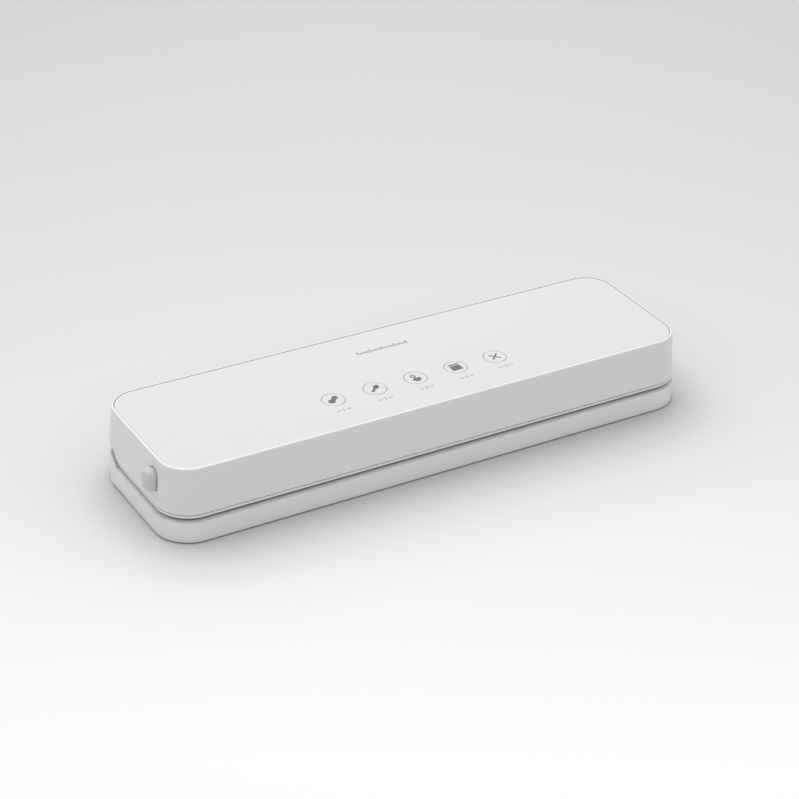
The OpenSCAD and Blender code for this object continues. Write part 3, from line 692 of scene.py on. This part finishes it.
def lathe(profile, sides=40):
    # (radius, height) pairs turned about Z; a radius of 0 closes the form
    verts, rings = [], []
    for radius, height in profile:
        outline = disc(0, 0, radius, sides) if radius else [(0, 0)]
        numbers = rows(1, len(outline), len(verts))[0]
        rings.append(numbers if radius else numbers * sides)
        verts += [Vector((x, y, height)) * mm for x, y in outline]
    return verts, [tuple(dict.fromkeys(face)) for face in bands(rings)]


def madeTree(name, fill, inputs):
    # A node tree that copies onto points, with the identifiers of its named inputs
    tree = bpy.data.node_groups.new(name, "GeometryNodeTree")
    inputs = {"Points": "Geometry", **inputs, "Finish": "Material"}
    names = {label: tree.interface.new_socket(name=label, in_out="INPUT",
             socket_type="NodeSocket" + kind).identifier for label, kind in inputs.items()}
    tree.interface.new_socket(name="Result", in_out="OUTPUT", socket_type="NodeSocketGeometry")
    start = tree.nodes.new("NodeGroupInput").outputs
    real = addNode(tree, "GeometryNodeRealizeInstances", {"Geometry": fill(tree, start)})
    done = addNode(tree, "GeometryNodeSetMaterial", {"Geometry": real,
                                                     "Material": start["Finish"]})
    plug(tree, tree.nodes.new("NodeGroupOutput"), 0, done)
    return tree, names


def onPoints(tree, points, shape, **turned):
    return addNode(tree, "GeometryNodeInstanceOnPoints", {"Points": points, "Instance": shape,
                                                          **turned})


def vector(tree, **parts):
    return addNode(tree, "ShaderNodeCombineXYZ", parts)


def shapes(tree, start):
    # One shape on every point, each turned about Z by a fixed random amount
    shape = addNode(tree, "GeometryNodeObjectInfo", {"Object": start["Shape"]}).outputs["Geometry"]
    turn = addNode(tree, "FunctionNodeRandomValue", {
        0: (0, 0, 0), 1: vector(tree, Z=start["Turn"]), "Seed": start["Seed"]},
        data_type="FLOAT_VECTOR")
    turned = addNode(tree, "FunctionNodeEulerToRotation", {0: turn})
    return onPoints(tree, start["Points"], shape, Rotation=turned)


def coils(tree, start):
    # Rings of round wire stacked along Z from every point
    ring, wire = (addNode(tree, "GeometryNodeCurvePrimitiveCircle", {
        "Resolution": start[part + " Sides"], "Radius": start[part + " Radius"]})
        for part in ("Coil", "Wire"))
    turn = addNode(tree, "GeometryNodeCurveToMesh", {0: ring, 1: wire})
    stack = addNode(tree, "GeometryNodeMeshLine", {"Count": start["Turns"],
                                                   "Offset": vector(tree, Z=start["Pitch"])})
    return onPoints(tree, start["Points"], onPoints(tree, stack, turn))


def scales(tree, start):
    # Fine marks in a row along X, every fifth one longer, standing on a common line
    row = addNode(tree, "GeometryNodeMeshLine", {"Count": start["Count"],
                                                 "Offset": vector(tree, X=start["Pitch"])})
    index = addNode(tree, "GeometryNodeInputIndex").outputs[0]
    fifth = maths(tree, "COMPARE", maths(tree, "MODULO", index, 5.0), 0.0)
    tall = maths(tree, "MULTIPLY", fifth, maths(tree, "SUBTRACT", start["Long"], start["Short"]))
    tall = maths(tree, "ADD", tall, start["Short"])
    stood = addNode(tree, "GeometryNodeSetPosition", {
        "Geometry": row, "Offset": vector(tree, Y=maths(tree, "MULTIPLY", tall, 0.5))})
    block = addNode(tree, "GeometryNodeMeshCube", {"Size": (1, 1, 1)})
    size = vector(tree, X=start["Width"], Y=tall, Z=start["Depth"])
    return onPoints(tree, start["Points"], onPoints(tree, stood, block, Scale=size))


turnedCopies = madeTree("turnedCopies", shapes, {"Shape": "Object", "Turn": "Float", "Seed": "Int"})
windings = madeTree("windings", coils, {
    "Turns": "Int", "Pitch": "Float", "Coil Radius": "Float", "Coil Sides": "Int",
    "Wire Radius": "Float", "Wire Sides": "Int"})
scaleMarks = madeTree("scaleMarks", scales, {
    "Count": "Int", **dict.fromkeys(("Pitch", "Width", "Short", "Long", "Depth"), "Float")})


def plainMesh(maker):
    # What an object comes to; the object itself goes
    graph = bpy.context.evaluated_depsgraph_get()
    mesh = bpy.data.meshes.new_from_object(maker.evaluated_get(graph), depsgraph=graph)
    bpy.data.objects.remove(maker)
    return mesh


def grown(name, points, made, values, finish, body, replaced=(), sharp=35):
    # Keeps what a node tree makes of the points
    tree, names = made
    holder = placed(name + "Points", meshOf(name + "Points", [Vector(p) * mm for p in points]))
    grower = holder.modifiers.new("grower", "NODES")
    grower.node_group = tree
    for label, value in {**values, "Finish": finishes[finish]}.items():
        grower[names[label]] = value
    mesh = plainMesh(holder)
    mesh.name = name
    dressed(name, mesh, (), body, replaced, sharp)


screws = {  # heads face down
    "head": [(2.072, 0), (2.68, 0.1575), (2.8, 0.45), (2.8, 1.0)],  # radius and height of its rings
    "shank": 1.4, "taper": 1.4, "tip": 0.25, "sides": 40,
    "cross": (1.35, 0.3, 0.6), "crossDraft": 0.8,  # arm, half its width, depth
    "turn": 1.57,  # the most that each is turned, in radians
    "sets": {  # body, node, length, seed and places on one side of the middle
        "baseScrews": ("base", "base_screws", 7.6, 11,
                       [(176, 8, 1.2), (100, -45.3, 1.2), (150, 38, 1.2), (60, 38, 1.2)]),
        "lidScrews": ("lid", "lid_screws", 10.0, 23,
                      [(176, 8, 19), (60, 10, 19), (160, 38, 28.5), (60, 38, 28.5)]),
    },
}


def screwShape(name, s, length):
    # Pan head with a cross recess in its crown, and a tapered point
    build = bmesh.new()

    def ring(outline, height):
        return [build.verts.new(Vector((x, y, height)) * mm) for x, y in outline]

    arm, half, deep = s["cross"]
    cross = [(arm, -half), (arm, half), (half, half), (half, arm), (-half, arm), (-half, half)]
    cross += [(-x, -y) for x, y in cross]
    rings = [ring(disc(0, 0, s["head"][0][0], s["sides"]), 0)]
    top = ring(cross, 0)
    low = ring([(x * s["crossDraft"], y * s["crossDraft"]) for x, y in cross], deep)
    edges = [build.edges.new(pair) for loop in (rings[0], top)
             for pair in zip(loop, loop[1:] + loop[:1])]
    bmesh.ops.triangle_fill(build, use_beauty=True, edges=edges)
    neck = s["head"][-1][1]
    tip = neck + length
    shank = [(s["shank"], neck), (s["shank"], tip - s["taper"]), (s["tip"], tip)]
    for radius, height in s["head"][1:] + shank:
        rings.append(ring(disc(0, 0, radius, s["sides"]), height))
    for face in band(top, low) + [low] + bands(rings) + [rings[-1]]:
        build.faces.new(face)
    bmesh.ops.recalc_face_normals(build, faces=build.faces)
    return placed(name, meshFrom(name, build))


for name, (body, node, length, seed, places) in screws["sets"].items():
    shape = screwShape(name + "Shape", screws, length)
    both = [(side * x, y, z) for x, y, z in places for side in (1, -1)]
    grown(name, both, turnedCopies, {"Shape": shape, "Turn": screws["turn"], "Seed": seed},
          "zincSteel", body, [node])
    bpy.data.objects.remove(shape)

feet = {"places": [(172, 38, 0), (172, -38, 0), (-172, 38, 0), (-172, -38, 0)], "sides": 48,
        "profile": [(0, 0.25), (1.7, 0.25), (1.9, 0), (3.1, 0), (3.3, 0.25), (3.7, 0.25), (3.9, 0),
                    (5.3, 0), (5.75, 0.18), (6, 0.6), (6, 2.0), (0, 2.0)]}
shape = placed("footShape", cleaned(meshOf("footShape", *lathe(feet["profile"], feet["sides"]))))
grown("feet", feet["places"], turnedCopies, {"Shape": shape, "Turn": 0.0, "Seed": 3},
      "footRubber", "base", ["feet"])
bpy.data.objects.remove(shape)
print("screws and feet set out")


def blocks(name, boxes, looks, body, replaced, rounding):
    # Rounded blocks: middle, then size; looks is one finish or one for each block
    names = [looks] * len(boxes) if isinstance(looks, str) else looks
    slots = list(dict.fromkeys(names))
    build = bmesh.new()
    for (place, size), item in zip(boxes, names):
        made = bmesh.ops.create_cube(build, size=1.0)["verts"]
        bmesh.ops.scale(build, vec=Vector(size) * mm, verts=made)
        bmesh.ops.translate(build, vec=Vector(place) * mm, verts=made)
        for face in {face for vert in made for face in vert.link_faces}:
            face.material_index = slots.index(item)
    bmesh.ops.bevel(build, geom=build.edges[:], offset=rounding * mm, segments=2, profile=0.5,
                    affect="EDGES", clamp_overlap=True)
    dressed(name, meshFrom(name, build), slots, body, replaced, 50)


transformer = {
    "middle": (-138, 11), "board": 26.6, "core": (20, 22), "yoke": 3.0, "gap": 10.0,
    "leg": (8, 2), "rounding": 0.35, "coil": 8.1, "wire": 0.32, "turns": 15, "air": 0.05,
}


def makeTransformer(t):
    x, y = t["middle"]
    z, yoke, gap, wire = t["board"], t["yoke"], t["gap"], t["wire"]
    wide, deep = t["core"]
    legWide, legDeep = t["leg"]
    boxes = [((x, y, z + yoke / 2), (wide, deep, yoke)),
             ((x, y, z + yoke * 1.5 + gap), (wide, deep, yoke))]
    boxes += [((x, y + side * (deep - legDeep) / 2, z + yoke + gap / 2), (legWide, legDeep, gap))
              for side in (1, -1)]
    blocks("transformerCore", boxes, "darkPlastic", "lid", ["transformer"], t["rounding"])
    pitch = (gap - 2 * wire - 2 * t["air"]) / (t["turns"] - 1)
    grown("transformerCoil", [(x, y, z + yoke + wire + t["air"])], windings, {
        "Turns": t["turns"], "Pitch": pitch * mm, "Coil Radius": t["coil"] * mm,
        "Wire Radius": wire * mm, "Coil Sides": 48, "Wire Sides": 8}, "copperWire", "lid",
        ["transformer"], 180)
    reel = t["coil"] - 0.2
    verts, faces = lathe([(0, 0), (reel, 0), (reel, gap), (0, gap)])
    newPiece("transformerBobbin", [v + Vector((x, y, z + yoke)) * mm for v in verts], faces,
             "coilTape", "lid", ["transformer"])


makeTransformer(transformer)

boardParts = {
    "board": 26.6, "sides": 36, "topAbove": 11,  # a face this far up may be a capacitor's top
    # Place, radius and height
    "capacitors": [((-98, 4), 6, 17), ((-84, 5), 4, 12), ((-84, 16), 4, 12)],
    "boxes": [((-102, 17.5, 33.6), (20, 9, 14)), ((-115, 3, 29.6), (14, 6, 6))], "rounding": 0.4,
}


def makeBoardParts(c):
    parts = []
    for (x, y), radius, height in c["capacitors"]:
        high = height - 0.1
        sleeve = [(0, 0), (radius - 0.5, 0), (radius, 0.4), (radius, 1.6), (radius - 0.35, 2.0),
                  (radius, 2.4), (radius, height - 0.5), (radius - 0.4, high)]
        top = [(radius - 0.4, high), (radius - 0.9, high), (radius - 1.1, height - 0.35),
               (0, height - 0.35)]
        for profile in (sleeve, top):
            verts, faces = lathe(profile, c["sides"])
            parts.append(([v + Vector((x, y, c["board"])) * mm for v in verts], faces))
    verts, faces, _ = joined(parts)
    piece = newPiece("capacitors", verts, faces, ["sleeveBlue", "motorSteel"], "lid",
                     ["board_parts"])
    for polygon in piece.data.polygons:
        low = polygon.center.z < (c["board"] + c["topAbove"]) * mm
        polygon.material_index = 0 if low or abs(polygon.normal.z) < 0.5 else 1
    blocks("relayAndChip", c["boxes"], ["coilTape", "darkPlastic"], "lid", ["board_parts"],
           c["rounding"])


makeBoardParts(boardParts)
print("transformer and board parts made")

marks = {
    # Height of the panel, and how far ink stands over it, reaches into it and is layered
    "panel": 49.75, "proud": 0.03, "sunk": 0.01, "layer": 0.0004,
    "keys": (-59, -29.5, 0, 29.5, 59), "keyFront": -17.2,
    "numberFront": -30.9, "numberSize": 4.2, "rule": (2.3, 2.6, 0.6),
    "scale": {"start": (-17.6, 24.2), "count": 21, "pitch": 1.8, "width": 0.75, "short": 2.2,
              "long": 3.6, "depth": 0.04, "lift": 0.01},
}


def capsule(first, second, wide, wideEnd=None, sides=14):
    # A stroke with round ends, wider at one end if asked
    wideEnd = wideEnd or wide
    angle = atan2(second[1] - first[1], second[0] - first[0])
    points = []
    for (x, y), radius, start in ((first, wide / 2, angle + pi / 2),
                                  (second, wideEnd / 2, angle - pi / 2)):
        points += [(x + radius * cos(start + pi * k / sides),
                    y + radius * sin(start + pi * k / sides)) for k in range(sides + 1)]
    return points


def ellipse(x, y, long, wide, turn, sides=32):
    c, s = cos(radians(turn)), sin(radians(turn))
    flat = [(long / 2 * u, wide / 2 * v) for u, v in disc(0, 0, 1, sides)]
    return [(x + u * c - v * s, y + u * s + v * c) for u, v in flat]


def printed(name, outlines, x, y, finish, body):
    # Flat closed patches of ink, each outline a solid a few hundredths of a millimetre thick
    verts, faces = [], []
    for order, outline in enumerate(outlines):
        low, top = rows(2, len(outline), len(verts))
        rise = marks["proud"] + marks["layer"] * (order % 5)
        for z in (marks["panel"] - marks["sunk"], marks["panel"] + rise):
            verts += [Vector((x + u, y + v, z)) * mm for u, v in outline]
        faces += [top, low[::-1]] + band(low, top)
    dressed(name, meshOf(name, verts, faces), finish, body)


keyMarks = {  # outlines round the key's middle
    "dry": [disc(-1.8, -1.6, 2.4), disc(1.9, 1.8, 2.15), capsule((-1.8, -1.6), (1.9, 1.8), 3.0)],
    "moist": [ellipse(1.6, 1.5, 5.2, 3.9, 45), capsule((0.2, 0.2), (-2.3, -2.2), 2.2, 1.2),
              disc(-2.9, -2.2, 0.85), disc(-2.3, -2.9, 0.85)],
    "pulse": [*band(disc(-0.9, 2.3, 1.9), disc(-0.9, 2.3, 0.95)),
              capsule((-0.6, 0.8), (-0.2, -1.4), 0.8, 1.4),
              capsule((-1.5, -2.0), (1.8, -1.5), 3.0, 2.8), disc(0.2, -2.6, 2.0)],
    "seal": [[(-3.7, -3.9), (3.7, -3.9), (3.7, 1.9), (-3.7, 1.9)],
             [(-3.7, 2.5), (3.7, 2.5), (3.7, 3.9), (-3.7, 3.9)]],
    "stop": [capsule((-2.6, -2.6), (2.6, 2.6), 1.15), capsule((-2.6, 2.6), (2.6, -2.6), 1.15)],
}


def printNumber(text, x, y, size, thick=0.01):
    # A plain figure, turned into a mesh before it takes its place
    curve = bpy.data.curves.new("figure" + text, "FONT")
    curve.body, curve.size, curve.extrude = text, size * mm, thick * mm
    curve.align_x, curve.align_y = "CENTER", "CENTER"
    mesh = plainMesh(placed("figure" + text, curve))
    mesh.transform(Matrix.Translation(Vector((x, y, marks["panel"] + 1.5 * thick)) * mm))
    mesh.materials.clear()
    mesh.name = "number" + text
    dressed("number" + text, cleaned(mesh), "paleInk", "lid")


near, length, thick = marks["rule"]
rules = [capsule((side * near, 0), (side * (near + length), 0), thick) for side in (1, -1)]
for index, (name, x) in enumerate(zip(keyNames, marks["keys"])):
    printed("mark" + name.capitalize(), keyMarks[name], x, marks["keyFront"], "greyInk",
            name + "_key")
    printNumber(str(index + 1), x, marks["numberFront"], marks["numberSize"])
    printed("rules" + str(index + 1), rules, x, marks["numberFront"], "paleInk", "lid")

scale = marks["scale"]
sizes = {label.capitalize(): scale[label] * mm
         for label in ("pitch", "width", "short", "long", "depth")}
grown("centringScale", [(*scale["start"], marks["panel"] + scale["lift"])], scaleMarks,
      {"Count": scale["count"], **sizes}, "greyInk", "lid")
print("marks printed")

studio = {
    "zenith": 1.05,  # the room's light straight above
    "horizon": 0.10,  # and level with the table
    "wall": 0.70,  # how pale the room is in reflections
    "gleam": 1.8,  # how much brighter its ceiling is there than its walls
    "softbox": 9.0,  # watts
    "softboxSize": (1.5, 1.2), "softboxPlace": (0.0, 0.70, 1.35),  # metres
    "softboxAim": (0, 0, 0.03),
    "floor": 9,  # metres from the middle to each side
    "floorBounce": 0.86,  # how much of the light comes back to the object
    "paper": (6, 0.995, 1.005),  # scale and range of the floor's faint clouds
    "contact": (0.11, 0.62),  # reach in metres and depth of the shade beside the object
    # How pale the floor is with distance along the view: metres, linear value
    "floorFade": ((-0.40, 1.06), (-0.334, 1.056), (-0.247, 0.998), (-0.149, 0.924), (-0.037, 0.853),
                  (0.094, 0.791), (0.246, 0.746), (0.427, 0.702), (0.644, 0.673), (0.80, 0.662)),
    "floorSide": (0.118, -0.083),  # its slope and bow across the view
}


def seenApart(tree, lit, seen, output):
    # One shader lights the object, and another is what the camera and reflections see
    ray = addNode(tree, "ShaderNodeLightPath").outputs
    eye = maths(tree, "MAXIMUM", ray["Is Camera Ray"], ray["Is Glossy Ray"])
    eye = maths(tree, "MAXIMUM", eye, ray["Is Transmission Ray"])
    choose = addNode(tree, "ShaderNodeMixShader", {"Fac": eye, 1: lit, 2: seen})
    plug(tree, tree.nodes[output], "Surface", choose)


def makeFloor(s):
    corners = ((-1, -1), (1, -1), (1, 1), (-1, 1))
    mesh = meshOf("paleFloor", [(x * s["floor"], y * s["floor"], 0) for x, y in corners],
                  [(0, 1, 2, 3)])
    floor = placed("paleFloor", mesh)
    material = bpy.data.materials.new("paleFloor")
    material.use_nodes = True
    tree = material.node_tree
    tree.nodes.remove(tree.nodes["Principled BSDF"])
    where = objectPlace(tree)
    az = radians(viewPoint["azimuth"])
    along = vectors(tree, "DOT_PRODUCT", where, (-sin(az), cos(az), 0))
    across = vectors(tree, "DOT_PRODUCT", where, (cos(az), sin(az), 0))
    slope, bow = s["floorSide"]
    even = maths(tree, "ADD", maths(tree, "MULTIPLY", across, bow), slope)
    even = maths(tree, "ADD", maths(tree, "MULTIPLY", even, across), 1.0)
    first, last = s["floorFade"][0][0], s["floorFade"][-1][0]
    ramp = addNode(tree, "ShaderNodeValToRGB", {"Fac": mapRange(tree, along, first, last, 0, 1)})
    stops = ramp.color_ramp.elements
    while len(stops) < len(s["floorFade"]):
        stops.new(0.5)
    for stop, (distance, value) in zip(stops, s["floorFade"]):
        stop.position = (distance - first) / (last - first)
        stop.color = (value, value, value, 1)
    clouds, dim, bright = s["paper"]
    paper = mapRange(tree, noise(tree, where, clouds, 3), 0, 1, dim, bright)
    reach, depth = s["contact"]
    shade = addNode(tree, "ShaderNodeAmbientOcclusion", {"Distance": reach}, samples=8)
    shade = mapRange(tree, shade.outputs["AO"], 0, 1, 1 - depth, 1)
    tone = addNode(tree, "ShaderNodeVectorMath", {0: ramp, "Scale": maths(
        tree, "MULTIPLY", maths(tree, "MULTIPLY", paper, even), shade)}, operation="SCALE")
    bounce = (*[s["floorBounce"]] * 3, 1)
    seenApart(tree, addNode(tree, "ShaderNodeBsdfDiffuse", {"Color": bounce}),
              addNode(tree, "ShaderNodeBsdfDiffuse", {"Color": tone}), "Material Output")
    mesh.materials.append(material)


def makeLight(s):
    world = bpy.data.worlds.new("studio")
    bpy.context.scene.world = world
    world.use_nodes = True
    tree = world.node_tree
    sky = addNode(tree, "ShaderNodeTexCoord").outputs["Generated"]
    height = addNode(tree, "ShaderNodeSeparateXYZ", {"Vector": sky}).outputs["Z"]
    fill = tree.nodes["Background"]
    plug(tree, fill, "Color", (1, 1, 1, 1))
    plug(tree, fill, "Strength", mapRange(tree, height, 0, 1, s["horizon"], s["zenith"]))
    pale = addNode(tree, "ShaderNodeBackground", {
        "Color": (*[s["wall"]] * 3, 1),
        "Strength": mapRange(tree, height, 0, 1, 1.0, s["gleam"])})
    seenApart(tree, fill, pale, "World Output")
    data = bpy.data.lights.new("overheadSoftbox", "AREA")
    data.shape, (data.size, data.size_y) = "RECTANGLE", s["softboxSize"]
    data.energy = s["softbox"]
    lamp = placed("overheadSoftbox", data)
    lamp.location = s["softboxPlace"]
    aim = Vector(s["softboxAim"]) - lamp.location
    lamp.rotation_euler = aim.to_track_quat("-Z", "Y").to_euler()


makeFloor(studio)
makeLight(studio)
bpy.context.scene.view_settings.view_transform = "Standard"
print("studio ready")
